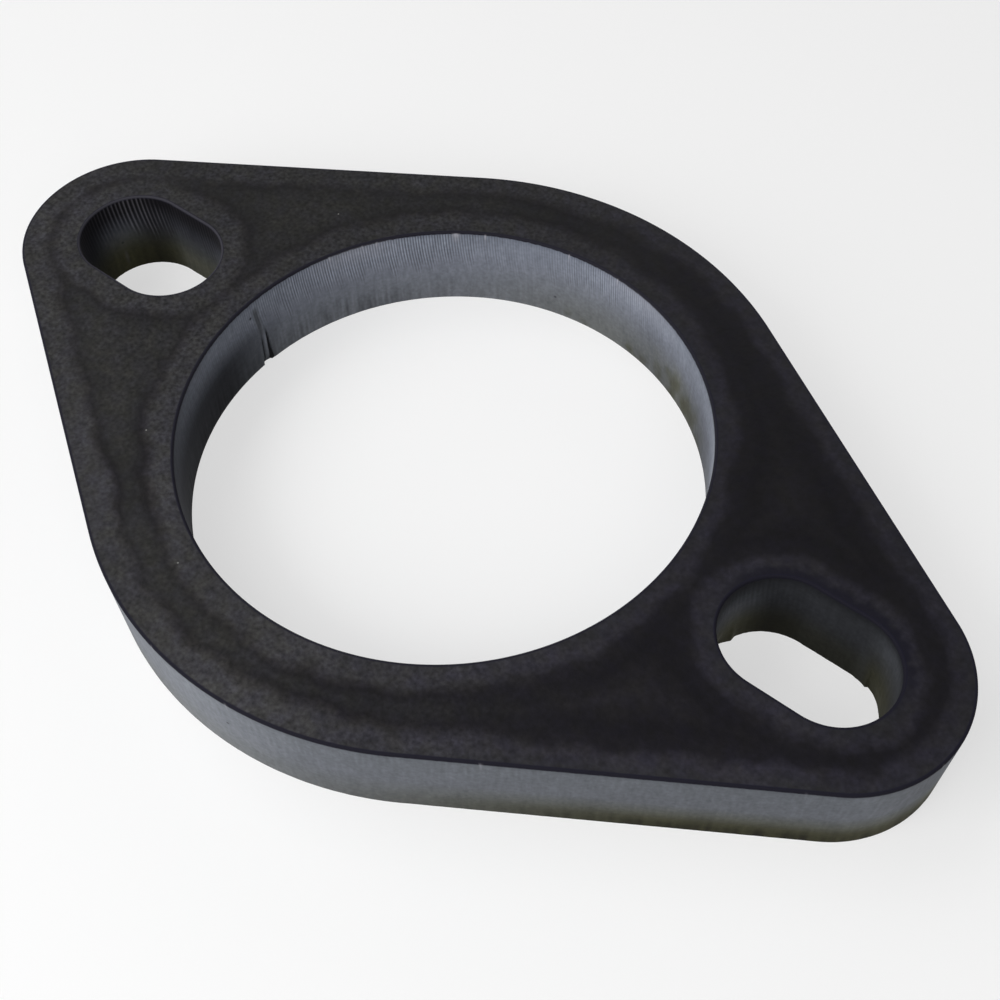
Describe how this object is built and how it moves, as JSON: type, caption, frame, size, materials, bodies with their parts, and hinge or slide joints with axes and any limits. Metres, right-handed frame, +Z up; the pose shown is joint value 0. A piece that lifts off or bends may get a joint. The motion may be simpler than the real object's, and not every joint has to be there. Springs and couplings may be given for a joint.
{
  "type": "exhaust flange",
  "caption": "Flat diamond-shaped exhaust flange with a central pipe bore and a slotted bolt hole at each end, laser cut from thick steel plate.",
  "frame": {"origin": "middle of the bore on the underside, which is the middle of the whole outline", "axes": "+X through the bolt slots, +Z up through the plate along the bore, towards the face the laser beam entered"},
  "size_m": [0.1086, 0.0686, 0.01],
  "materials": {
    "plate": "hot-rolled mill scale on both faces, grey laser-cut oxide on the edges"
  },
  "bodies": {
    "root": {"flange_plate": "plate"}
  },
  "joints": []
}
